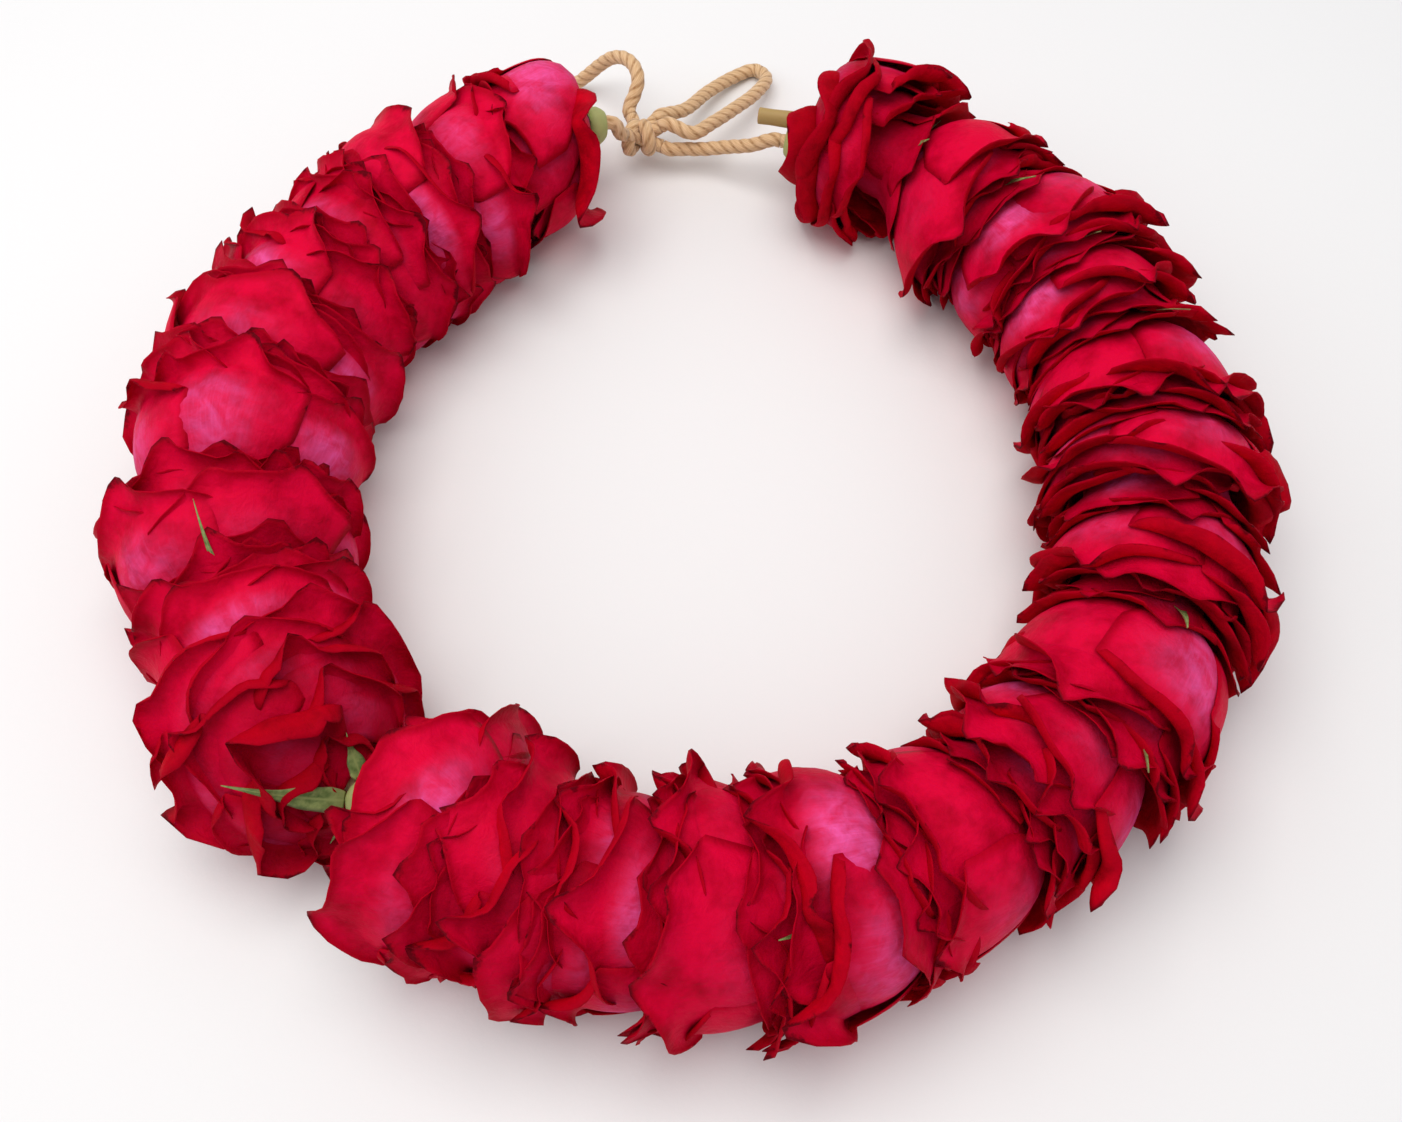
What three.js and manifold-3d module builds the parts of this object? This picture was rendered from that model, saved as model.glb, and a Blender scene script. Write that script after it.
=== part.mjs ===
// A fresh rose lei: twenty-five full-blown garden roses threaded on a jute string and laid in a ring on a table,
// with the string's two ends tied in a slipped bow across the gap at the back.
// Millimetres, +Z up. The ring lies round the origin with its gap at +Y, and the flowers rest on Z = 0.
//
// Every flower is drawn in the strand's own coordinates: how deep from its rim along the strand, how far out from
// the string, and the turn round it. Each nests in the cup of the next, whose petals keep outside it.

import * as THREE from "three";
import { mergeVertices } from "three/addons/utils/BufferGeometryUtils.js";
import Module from "manifold-3d";

const wasm = await Module();
wasm.setup();

const degree = Math.PI / 180;
const petalsRound = 5;

// The ring and its string.
const ringRadius = 147;
const boxCentre = { x: -2.83, y: -1.69 };

// How far the strand's two ends stand out past the ring, and between which degrees round it that begins and ends.
const endSpread = { left: { out: 15, full: 104, none: 130 }, right: { out: 15, none: 398, full: 436 } };
const cordRadius = 2.75;
const boreRadius = 4.9;

// Petals, sepals and hips.
const petalThickness = 0.9;
const sepalThickness = 0.8;
const sepalGap = 1.1;
const sepalHalfWidth = 2.6;
const shortSepal = 12;
const footRadius = 5;
const hipRadius = 7;
const hipLength = 7;
const hipGap = 0.5;
const cupGap = 0.8;
const nestClearance = 3.8;
const hipClearance = 2.4;
const tableClearance = 0.6;
const heartDepth = 10;
const usualLength = 48;
const shortestPetal = 6;
const longBore = 20;

// How far a petal's covered side keeps above the table, and each whorl inside it above that.
const coveredLift = 2;

// One line for each flower, from the left end of the gap round to the right end.
// rim is its place round the ring in degrees, and base that of its foot. radius is its half width.
// lean tips it along the strand, top first, and sepal is how far its longest sepal reaches, at the turn spin where
// that is given in degrees. blunt flowers stand at the strand's two ends with their petals bent back round the foot.
const flowers = [
  { rim: 118, base: 105.5, radius: 32, lean: 0.1, sepal: 12, blunt: true },
  { rim: 121.5, base: 134.5, radius: 31.5, lean: 0.1, sepal: 12 },
  { rim: 131, base: 145, radius: 34, lean: 0.1, sepal: 12 },
  { rim: 140.5, base: 155, radius: 32.5, lean: 0.1, sepal: 12 },
  { rim: 150.5, base: 165.5, radius: 33, lean: 0.05, sepal: 12 },
  { rim: 160.5, base: 178, radius: 36, lean: 0, sepal: 12 },
  { rim: 172.5, base: 193, radius: 39, lean: 0, sepal: 12 },
  { rim: 188, base: 207, radius: 36, lean: 0.05, sepal: 26 },
  { rim: 201.5, base: 219, radius: 37, lean: 0.15, sepal: 12 },
  { rim: 213, base: 230, radius: 38, lean: 0.4, sepal: 26, spin: 38 },
  { rim: 236, base: 251, radius: 34.5, lean: 0.1, sepal: 12 },
  { rim: 246, base: 261.5, radius: 32.5, lean: 0, sepal: 12 },
  { rim: 255.5, base: 272.5, radius: 32, lean: 0, sepal: 12 },
  { rim: 266, base: 284, radius: 33, lean: 0, sepal: 12 },
  { rim: 277.5, base: 296.5, radius: 34.5, lean: 0, sepal: 22 },
  { rim: 290.5, base: 309.5, radius: 31, lean: 0.05, sepal: 12 },
  { rim: 304, base: 325, radius: 31.5, lean: 0.1, sepal: 26 },
  { rim: 319.5, base: 340, radius: 31.5, lean: 0.1, sepal: 26 },
  { rim: 334, base: 353.5, radius: 32, lean: 0.1, sepal: 12 },
  { rim: 347, base: 367, radius: 36, lean: 0.1, sepal: 28 },
  { rim: 361, base: 381, radius: 35, lean: 0.1, sepal: 12 },
  { rim: 375, base: 395, radius: 34, lean: 0.1, sepal: 12 },
  { rim: 389.5, base: 408, radius: 33, lean: 0.1, sepal: 24 },
  { rim: 402.5, base: 421, radius: 34, lean: 0.1, sepal: 24 },
  { rim: 415.5, base: 435, radius: 34, lean: 0.05, sepal: 12, blunt: true },
];

// The first flower is threaded the other way round, so that both ends of the strand show a flower's foot.
const arc = (from, to) => Math.abs(to - from) * degree * ringRadius;
flowers.forEach((flower, index) => {
  flower.index = index;
  flower.way = flower.base > flower.rim ? 1 : -1;
  flower.length = arc(flower.rim, flower.base);
  flower.nested = index > 1 ? flowers[index - 1] : null;
  flower.swirl = 2 * Math.PI * chance(index, 1, 1);
});

function smooth(low, high, x) {
  const t = Math.min(1, Math.max(0, (x - low) / (high - low)));
  return t * t * (3 - 2 * t);
}

function mix(a, b, share) {
  return a + (b - a) * share;
}

// A number from 0 to 1 that is always the same for the same three seeds.
function chance(a, b, c) {
  const x = Math.sin(a * 127.1 + b * 311.7 + c * 74.7 + 13.7) * 43758.5453;
  return x - Math.floor(x);
}

// A value of the flowers at a place round the ring, eased from the middle of one flower to the next.
function eased(angle, value) {
  const middle = (flower) => (flower.rim + flower.base) / 2;
  if (angle <= middle(flowers[0])) return value(flowers[0]);
  for (let i = 1; i < flowers.length; i++) {
    if (angle <= middle(flowers[i])) {
      const share = smooth(middle(flowers[i - 1]), middle(flowers[i]), angle);
      return mix(value(flowers[i - 1]), value(flowers[i]), share);
    }
  }
  return value(flowers[flowers.length - 1]);
}

// The string's height above the table, as the flowers are pressed a little flat where they lie,
// and its distance from the ring's centre, which grows towards the two ends.
const restShare = 0.86;
const centreHeight = (angle) => restShare * eased(angle, (flower) => flower.radius);
const centreReach = (angle) => {
  const { left, right } = endSpread;
  const leftOut = left.out * (1 - smooth(left.full, left.none, angle));
  return ringRadius + leftOut + right.out * smooth(right.none, right.full, angle);
};

// Near the last flower's foot the string leaves its middle and comes out low beside the stem.
const sideways = { from: 424, to: 435, reach: -5.5, drop: -5.5, near: 6, far: 24 };

// A point of the model from its place in the strand. lowest keeps it above the table.
function onStrand(angle, out, turn, lowest = -Infinity) {
  const lean = eased(angle, (flower) => flower.lean);
  const leaned = (angle - (lean * out * Math.sin(turn)) / ringRadius / degree) * degree;
  const moved = smooth(sideways.from, sideways.to, angle) * (1 - smooth(sideways.near, sideways.far, out));
  const reach = centreReach(angle) + out * Math.cos(turn) + moved * sideways.reach;
  const z = centreHeight(angle) + out * Math.sin(turn) + moved * sideways.drop;
  return [reach * Math.cos(leaned), reach * Math.sin(leaned), Math.max(z, lowest)];
}

// A flower's round body, by depth from its rim to its foot.
const profile = [
  [0, 0.97],
  [0.15, 1],
  [0.35, 0.99],
  [0.52, 0.93],
  [0.68, 0.8],
  [0.8, 0.62],
  [0.9, 0.4],
  [1, 0.17],
];
const bluntProfile = [
  [0, 0.97],
  [0.15, 1],
  [0.35, 1],
  [0.55, 0.98],
  [0.75, 0.9],
  [0.87, 0.76],
  [0.95, 0.52],
  [1, 0.2],
];

function body(flower, depth) {
  const outline = flower.blunt ? bluntProfile : profile;
  const share = Math.min(1, Math.max(0, depth / flower.length));
  const next = Math.max(1, outline.findIndex(([at]) => at >= share));
  const [[low, from], [high, to]] = [outline[next - 1], outline[next]];
  return Math.max(footRadius, flower.radius * mix(from, to, (share - low) / (high - low)));
}

// The same body where the table flattens it.
function bodyAt(flower, depth, turn) {
  const angle = flower.rim + (flower.way * depth) / ringRadius / degree;
  const down = Math.max(1e-6, -Math.sin(turn));
  return Math.min(body(flower, depth), (centreHeight(angle) - tableClearance) / down);
}

// The room that the flower before takes up in this one's cup.
function nest(flower, depth) {
  const before = flower.nested;
  if (!before) return footRadius;
  const beforeDepth = depth + arc(before.rim, flower.rim);
  const pastFoot = beforeDepth - before.length;
  if (pastFoot < 0) return body(before, beforeDepth) + nestClearance;
  if (pastFoot < hipLength + hipClearance) return hipRadius + hipClearance;
  return footRadius;
}

// The turn of a petal whose flower has its petals a little uneven round it.
const unevenness = 0.14;
const uneven = (flower, turn) => turn + unevenness * Math.sin(turn - flower.swirl * 2.3 + 1);

// A closed mesh as a solid, turned the right way out.
function solidOf(points, triangles) {
  const made = new wasm.Manifold(
    new wasm.Mesh({
      numProp: 3,
      vertProperties: new Float32Array(points.flat()),
      triVerts: new Uint32Array(triangles.flat()),
    }),
  );
  return made.volume() > 0 ? made : solidOf(points, triangles.map(([a, b, c]) => [a, c, b]));
}

// A flower's piece, drawn as one closed surface: a heart or hip of rings round the string, with blades that
// grow out of it between one ring and the next.
function growing(flower) {
  const points = [];
  const triangles = [];
  const put = (depth, out, turn, lowest) => {
    points.push(onStrand(flower.rim + (flower.way * depth) / ringRadius / degree, out, turn, lowest));
    return points.length - 1;
  };
  const span = (a, b) => Math.hypot(...points[a].map((value, axis) => value - points[b][axis]));
  const quad = (a, b, c, d) => {
    if (span(a, c) < span(b, d)) triangles.push([a, b, c], [a, c, d]);
    else triangles.push([a, b, d], [b, c, d]);
  };

  // The faces between two rows of corners.
  const zip = (near, far, flip) => {
    let [i, j] = [0, 0];
    while (i < near.length - 1 || j < far.length - 1) {
      const nearNext = i < near.length - 1 ? (i + 0.5) / (near.length - 1) : 2;
      const farNext = j < far.length - 1 ? (j + 0.5) / (far.length - 1) : 2;
      const farFirst = farNext < nearNext || (farNext === nearNext && farNext < 0.6);
      const corners = farFirst ? [near[i], far[j], far[++j]] : [near[i], far[j], near[++i]];
      triangles.push(flip ? [corners[0], corners[2], corners[1]] : corners);
    }
  };

  // rings holds a row of corners for each side of the heart. grow gives a blade's rows, from its root
  // outwards, where one grows between that corner and the next; each row has a first and a second face.
  const sweep = (rings, grow) => {
    const corners = rings[0].length;
    for (let k = 0; k < rings.length; k++) {
      const [a, b] = [rings[k], rings[(k + 1) % rings.length]];
      for (let c = 0; c < corners; c++) {
        const d = (c + 1) % corners;
        const rows = grow(k, c);
        if (!rows) {
          quad(a[c], a[d], b[d], b[c]);
          continue;
        }
        let last = { first: [a[c], b[c]], second: [a[d], b[d]] };
        for (const row of rows) {
          const [end, lastEnd] = [row.first.length - 1, last.first.length - 1];
          zip(last.first, row.first, false);
          zip(last.second, row.second, true);
          quad(last.first[0], last.second[0], row.second[0], row.first[0]);
          quad(last.second[lastEnd], last.first[lastEnd], row.first[end], row.second[end]);
          last = row;
        }
        for (let i = 0; i < last.first.length - 1; i++)
          quad(last.first[i], last.second[i], last.second[i + 1], last.first[i + 1]);
      }
    }
  };
  return { put, sweep, solid: () => solidOf(points, triangles) };
}

// The whorls of petals in a flower, from the outermost in. root is where they leave the heart, as a share of the
// flower's length, and rows are the rows of corners up to the edge. share says how near the outside they stand,
// slant and lift raise one side of each petal over its neighbour, turned is the whorl's turn round the flower, and
// a whorl ends no nearer the rim than where the cup has that much room.
const whorls = [
  { rows: [0.74, 0.38, 0.16], cells: 3, half: 54, share: 0.9, slant: 0.09, lift: 0.8, turned: 0, top: 1, drop: 4, flare: 5, room: 0 },
  { rows: [], cells: 3, half: 35, share: 0.42, slant: 0.05, lift: 0.3, turned: 36, top: -4, drop: 3, flare: 0, room: 8 },
  { rows: [], cells: 2, half: 34, share: 0.12, slant: 0.02, lift: 0.2, turned: 18, top: -8, drop: 3, flare: 0, room: 13 },
];

// The outermost whorl leaves the heart at this share of the flower's length. rootShares says how near the outside
// each whorl leaves it, lowRow how wide a petal is at its lowest row, and rimBend how deep its rim begins to bend out.
const outerRoot = 0.9;
const rootShares = [0.85, 0.5, 0.33];
const lowRow = 0.64;
const rimBend = 0.22;

// How deep in its cup a flower has that much room round the one before.
function roomyDepth(flower, room) {
  let depth = 0;
  while (depth < 0.6 * flower.length && body(flower, depth) - nest(flower, depth) < room) depth += 0.5;
  return depth;
}

// How far out a petal's middle surface is.
function petalOut(flower, whorl, petal, u, depth) {
  const turn = uneven(flower, petal.turn + u * petal.half * degree);
  const outside = bodyAt(flower, depth, turn);
  const inside = Math.min(nest(flower, depth), outside - 1);
  const bend = Math.min(1.25, Math.max(0, 1 - depth / (rimBend * flower.length)));
  const lift = u * Math.max(whorl.slant * (outside - inside), whorl.lift);
  return mix(inside, outside, whorl.share) + lift + petal.flare * bend * bend * (0.7 + 0.4 * u);
}

// The petals of one flower, standing in whorls out of the heart that they grow from.
function roseHead(flower) {
  const { index, length, nested } = flower;
  const { put, sweep, solid } = growing(flower);
  const footIn = nested ? (nested.base - flower.rim) * degree * ringRadius : 0;
  const heartTop = nested ? Math.max(4, footIn + hipLength + cupGap) : heartDepth;
  const rootDepths = [outerRoot * length, mix(heartTop + 4, outerRoot * length, 0.45), heartTop + 3.5];
  const step = 360 / petalsRound;
  const ringTurns = whorls.map(({ turned }) => turned - step / 2);
  const rings = [];
  for (let k = 0; k < petalsRound; k++) {
    const turnOf = (whorl) => uneven(flower, flower.swirl + (ringTurns[whorl] + k * step) * degree);
    const row = [put(length, boreRadius, turnOf(0)), put(length, footRadius + 1.6, turnOf(0))];
    whorls.forEach((whorl, i) => {
      const turn = turnOf(i);
      const out = Math.min(rootShares[i] * body(flower, rootDepths[i]), bodyAt(flower, rootDepths[i], turn) - 1.5);
      row.push(put(rootDepths[i], out, turn), put(rootDepths[i] - 0.8, out - 0.8, turn));
    });
    row.push(put(heartTop, boreRadius, turnOf(2)));
    if (length - heartTop > longBore) row.push(put((length + heartTop) / 2, boreRadius, turnOf(2)));
    rings.push(row);
  }
  sweep(rings, (k, c) => {
    const number = (c - 2) / 2;
    const whorl = whorls[number];
    if (!whorl) return null;
    const seed = 10 * number + k;
    const petal = {
      turn: flower.swirl + (whorl.turned + k * step) * degree,
      half: whorl.half,
      flare: whorl.flare * (0.85 + 0.3 * chance(index, seed, 6)),
    };
    const size = length / usualLength;
    const top = Math.min(whorl.top + 3 * (chance(index, seed, 4) - 0.5), 1.5 - roomyDepth(flower, whorl.room));
    const drop = size * whorl.drop * (0.8 + 0.5 * chance(index, seed, 5));
    const rows = [...whorl.rows, null].map((row, r) => {
      const first = [];
      const second = [];
      const narrow = r === 0 && row !== null ? lowRow : 1;
      for (let i = 0; i <= whorl.cells; i++) {
        const u = (2 * i) / whorl.cells - 1;
        const jag = size * 2.4 * (chance(index, seed, 20 + i) - 0.5);
        const edge = Math.min(drop * Math.pow(Math.abs(u), 1.5) - top + jag, rootDepths[number] - shortestPetal);
        const depth = row === null ? edge : row * length;
        const spread = u * narrow;
        const out = petalOut(flower, whorl, petal, u, depth);
        const slope = petalOut(flower, whorl, petal, u, depth + 0.5) - petalOut(flower, whorl, petal, u, depth - 0.5);
        const half = petalThickness / 2 / Math.hypot(1, slope);
        const turn = uneven(flower, petal.turn + spread * petal.half * degree);
        const lowest = number === 0 && u > 0 ? 0 : coveredLift * (number + 1);
        first.push(put(depth - slope * half, out + half, turn, lowest));
        second.push(put(depth + slope * half, out - half, turn, lowest + petalThickness));
      }
      return { first, second };
    });
    return rows;
  });
  return solid();
}

// Where a sepal that is laid along the flower from its foot ends, with the way out from there.
function shoulder(flower, reach, turn) {
  const step = 0.1;
  let depth = flower.length;
  let out = bodyAt(flower, depth, turn);
  for (let run = 0; run < reach && depth > step; depth -= step) {
    const next = bodyAt(flower, depth - step, turn);
    run += Math.hypot(step, next - out);
    out = next;
  }
  const slope = bodyAt(flower, Math.max(0, depth - 1), turn) - bodyAt(flower, depth + 0.5, turn);
  const size = Math.hypot(1.5, slope);
  return { depth, out, back: slope / size, up: 1.5 / size };
}

// The hip that the petals stood on, with its five sepals lying back along the flower's foot.
function calyx(flower) {
  const { index, length, sepal } = flower;
  const { put, sweep, solid } = growing(flower);
  const spin = (flower.spin ?? 65 + 50 * chance(index, 3, 9)) * degree;
  const step = (2 * Math.PI) / petalsRound;
  const rings = [];
  for (let k = 0; k < petalsRound; k++) {
    const turn = spin + step * (k - 0.5);
    rings.push([
      put(length + hipLength, boreRadius, turn),
      put(length + hipGap, boreRadius, turn),
      put(length + hipGap, hipRadius, turn),
      put(length + hipGap + sepalThickness, hipRadius + 0.5, turn),
      put(length + hipLength, hipRadius - 0.6, turn),
    ]);
  }
  sweep(rings, (k, c) => {
    if (c !== 2) return null;
    const turn = spin + step * k;
    const reach = k === 0 ? sepal : shortSepal * (0.85 + 0.3 * chance(index, k, 11));
    return [0.45, 1].map((part) => {
      const here = shoulder(flower, reach * part, turn);
      const turns = part < 1 ? [-sepalHalfWidth / here.out, sepalHalfWidth / here.out] : [0];
      const row = (lift, lowest) =>
        turns.map((aside) => put(here.depth + lift * here.back, here.out + lift * here.up, turn + aside, lowest));
      return { first: row(sepalGap, sepalThickness), second: row(sepalGap + sepalThickness, 0) };
    });
  });
  return solid();
}

// A tube along a smooth path, with a ring of corners at every step.
const tubeSides = 8;
const stringStep = 15;
const tieStep = 9;

function tube(points, radius, step = Infinity) {
  const path = new THREE.CatmullRomCurve3(points.map((point) => new THREE.Vector3(...point)), false, "centripetal");
  const outline = new THREE.Shape();
  for (let i = 0; i < tubeSides; i++) {
    const turn = (2 * Math.PI * i) / tubeSides;
    if (i === 0) outline.moveTo(radius * Math.cos(turn), radius * Math.sin(turn));
    else outline.lineTo(radius * Math.cos(turn), radius * Math.sin(turn));
  }
  const steps = Math.max(1, Math.round(path.getLength() / step));
  const geometry = new THREE.ExtrudeGeometry(outline, { steps, extrudePath: path, bevelEnabled: false });
  geometry.deleteAttribute("normal");
  geometry.deleteAttribute("uv");
  const merged = mergeVertices(geometry, 1e-3);
  return new wasm.Manifold(
    new wasm.Mesh({
      numProp: 3,
      vertProperties: merged.attributes.position.array,
      triVerts: new Uint32Array(merged.index.array),
    }),
  );
}

// The last flower keeps a cut stub of its stem, beside the hole that the string goes in by.
const stub = { radius: 3.1, reach: 11, out: 8, turn: 45 * degree };

function stemStub(flower) {
  const at = (depth) => onStrand(flower.rim + depth / ringRadius / degree, stub.out, stub.turn);
  return tube([at(flower.length + 2.5), at(flower.length + hipLength + stub.reach)], stub.radius);
}

// The string through all the flowers, out of the first one's hip to the knot.
const knotCentre = [-23.5, 165.5, 14];
const knotReach = 9.5;
const jointGap = 0.3;
const ways = {
  string: [-0.56, -0.52, 0.64],
  line: [0.93, -0.3, -0.2],
  loopOut: [0.62, 0.76, 0.18],
  loopBack: [0.88, 0.12, 0.46],
  end: [-0.34, 0.88, 0.33],
};
const fromKnot = (way, reach) => {
  const size = Math.hypot(...ways[way]);
  return knotCentre.map((value, axis) => value + (reach * ways[way][axis]) / size);
};
const leaving = (way) => [fromKnot(way, knotReach + jointGap), fromKnot(way, knotReach + 3)];
const stringStart = flowers[0].base - (hipLength + 3) / ringRadius / degree;
const stringEnd = flowers[flowers.length - 1].base + (hipLength + 1.5) / ringRadius / degree;

function stringPath() {
  const points = leaving("string");
  const turns = 60;
  for (let i = 0; i <= turns; i++) points.push(onStrand(mix(stringStart, stringEnd, i / turns), 0, 0));
  return points;
}

// What hangs free: the line from the last flower to the knot, the bow's loop, and the string's loose end, which
// arches over behind the first flower and down on the table.
const afterString = [jointGap, 3].map((past) => onStrand(stringEnd + past / ringRadius / degree, 0, 0));
const freeCords = {
  tie_line: [
    ...afterString,
    [20.7, 156.5, 18.5],
    [10.7, 160.2, 14],
    [2, 161.8, 11.5],
    [-5.9, 162.5, 10.8],
    ...leaving("line").reverse(),
  ],
  tie_loop: [
    ...leaving("loopOut"),
    [-6, 183.2, 12],
    [3.7, 199.4, 7],
    [14.6, 212.1, 3.8],
    [23.1, 217.3, 3],
    [27.9, 209.5, 5.5],
    [23.3, 196.5, 9],
    [14.1, 183.2, 12.5],
    [5.2, 171.9, 15.5],
    [-2.7, 163.6, 18],
    ...leaving("loopBack").reverse(),
  ],
  tie_end: [
    ...leaving("end"),
    [-25.2, 181.6, 22],
    [-24, 185.5, 25],
    [-25.7, 191.8, 26.5],
    [-29.9, 197.7, 25.5],
    [-35, 201.9, 22],
    [-40.3, 204.9, 16],
    [-45.8, 206.6, 9.5],
    [-50.7, 207.7, 4.5],
    [-55.3, 205.3, 2.9],
    [-59.3, 201.8, 2.9],
  ],
};

// The knot: two turns of the string round the middle, with its five ends coming out.
const knotTurns = [
  { along: -2.6, tilt: 0.35, radius: 4.6 },
  { along: 2.8, tilt: -0.3, radius: 4.4 },
];

function knot() {
  const pieces = Object.keys(ways).map((way) => tube([knotCentre, fromKnot(way, knotReach)], cordRadius));
  for (const { along, tilt, radius } of knotTurns) {
    const points = [];
    const triangles = [];
    const [round, sides] = [9, 6];
    for (let i = 0; i < round; i++) {
      const turn = (2 * Math.PI * i) / round;
      for (let k = 0; k < sides; k++) {
        const side = (2 * Math.PI * k) / sides;
        const reach = radius + cordRadius * Math.cos(side);
        const x = along + cordRadius * Math.sin(side) + tilt * reach * Math.cos(turn);
        points.push([knotCentre[0] + x, knotCentre[1] + reach * Math.cos(turn), knotCentre[2] + reach * Math.sin(turn)]);
        const next = i * sides + ((k + 1) % sides);
        const across = (value) => (value + sides) % (round * sides);
        triangles.push([i * sides + k, next, across(next)], [i * sides + k, across(next), across(i * sides + k)]);
      }
    }
    pieces.push(solidOf(points, triangles));
  }
  return wasm.Manifold.union(pieces);
}

// A solid as a three.js mesh.
const materials = {
  petal: new THREE.MeshStandardMaterial({ color: 0xb8052c, roughness: 0.62, metalness: 0 }),
  calyx: new THREE.MeshStandardMaterial({ color: 0x6f8a45, roughness: 0.7, metalness: 0 }),
  jute: new THREE.MeshStandardMaterial({ color: 0xc99f6e, roughness: 0.9, metalness: 0 }),
};

function meshOf(name, solid, material) {
  const mesh = solid.getMesh();
  const positions = new Float32Array(mesh.numVert * 3);
  for (let i = 0; i < mesh.numVert; i++)
    positions.set(mesh.vertProperties.subarray(i * mesh.numProp, i * mesh.numProp + 3), i * 3);
  const geometry = new THREE.BufferGeometry();
  geometry.setAttribute("position", new THREE.BufferAttribute(positions, 3));
  geometry.setIndex(new THREE.BufferAttribute(mesh.triVerts, 1));
  geometry.translate(-boxCentre.x, -boxCentre.y, 0);
  geometry.computeVertexNormals();
  const made = new THREE.Mesh(geometry, material);
  made.name = name;
  return made;
}

const lei = new THREE.Group();
lei.name = "rose_lei";
const number = (index) => String(index + 1).padStart(2, "0");
for (const flower of flowers) {
  lei.add(meshOf(`rose_${number(flower.index)}`, roseHead(flower), materials.petal));
  const last = flower === flowers[flowers.length - 1];
  const green = last ? wasm.Manifold.union([calyx(flower), stemStub(flower)]) : calyx(flower);
  lei.add(meshOf(`calyx_${number(flower.index)}`, green, materials.calyx));
}
lei.add(meshOf("string", tube(stringPath(), cordRadius, stringStep), materials.jute));
for (const [name, path] of Object.entries(freeCords))
  lei.add(meshOf(name, tube(path, cordRadius, tieStep), materials.jute));
lei.add(meshOf("tie_knot", knot(), materials.jute));

export default lei;
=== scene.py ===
import math

import bpy
import numpy as np
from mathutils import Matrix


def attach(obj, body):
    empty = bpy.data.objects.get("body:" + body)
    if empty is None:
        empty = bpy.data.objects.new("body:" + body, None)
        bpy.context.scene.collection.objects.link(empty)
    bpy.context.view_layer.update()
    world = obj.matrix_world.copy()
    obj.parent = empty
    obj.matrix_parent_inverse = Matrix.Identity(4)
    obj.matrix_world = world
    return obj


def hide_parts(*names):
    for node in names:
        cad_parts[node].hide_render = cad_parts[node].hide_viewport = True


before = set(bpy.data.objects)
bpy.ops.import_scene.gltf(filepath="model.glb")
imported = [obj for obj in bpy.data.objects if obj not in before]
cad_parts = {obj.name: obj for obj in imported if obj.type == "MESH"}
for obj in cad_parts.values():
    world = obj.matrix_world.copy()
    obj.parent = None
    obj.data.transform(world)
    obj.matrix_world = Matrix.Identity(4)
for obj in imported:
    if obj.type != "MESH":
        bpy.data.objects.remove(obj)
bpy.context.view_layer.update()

mm = 0.001
degree = math.pi / 180


def smooth(low, high, x):
    t = np.clip((x - low) / (high - low), 0, 1)
    return t * t * (3 - 2 * t)


def mix(a, b, share):
    return a + (b - a) * share


# A number from 0 to 1 that is always the same for the same three seeds.
def chance(a, b, c):
    x = math.sin(a * 127.1 + b * 311.7 + c * 74.7 + 13.7) * 43758.5453
    return x - math.floor(x)


def linear(code):
    parts = [int(code[i:i + 2], 16) / 255 for i in (1, 3, 5)]
    return [p / 12.92 if p <= 0.04045 else ((p + 0.055) / 1.055) ** 2.4 for p in parts] + [1.0]


# One node with its settings, its socket values and its links. A node given as a value stands for its first
# output in use. stops fills a colour ramp.
def addNode(tree, kind, inputs=None, stops=None, **settings):
    node = tree.nodes.new(kind)
    for name, value in settings.items():
        setattr(node, name, value)
    for socket, value in (inputs or {}).items():
        if isinstance(value, bpy.types.Node):
            value = next(output for output in value.outputs if output.enabled)
        if isinstance(value, bpy.types.NodeSocket):
            tree.links.new(value, node.inputs[socket])
        else:
            node.inputs[socket].default_value = value
    if stops:
        ramp = node.color_ramp
        while len(ramp.elements) < len(stops):
            ramp.elements.new(0.5)
        for element, (at, colour) in zip(ramp.elements, stops):
            element.position = at
            element.color = colour
    return node


# The three numbers of a value kept at a mesh's points.
def keptValues(tree, name):
    attribute = addNode(tree, "ShaderNodeAttribute", attribute_name=name)
    return addNode(tree, "ShaderNodeSeparateXYZ", {"Vector": attribute.outputs["Vector"]}).outputs[:]


def newMaterial(name):
    material = bpy.data.materials.new(name)
    material.use_nodes = True
    material.node_tree.nodes.clear()
    return material, material.node_tree


def surfaced(material, settings):
    shader = addNode(material.node_tree, "ShaderNodeBsdfPrincipled", settings)
    addNode(material.node_tree, "ShaderNodeOutputMaterial", {"Surface": shader})
    return material


# Camera, at the height and tilt that the ring's round form in the photograph gives.
cameraSetup = dict(place=(3.68, -246.34, 396.1), tilt=30, lens=35, sensorWidth=36, farthest=20)
cameraData = bpy.data.cameras.new("camera")
cameraData.lens = cameraSetup["lens"]
cameraData.sensor_width = cameraSetup["sensorWidth"]
cameraData.clip_end = cameraSetup["farthest"]
camera = bpy.data.objects.new("camera", cameraData)
camera.location = [value * mm for value in cameraSetup["place"]]
camera.rotation_euler = (cameraSetup["tilt"] * degree, 0, 0)
bpy.context.collection.objects.link(camera)
bpy.context.scene.camera = camera
print("camera set")


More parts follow.
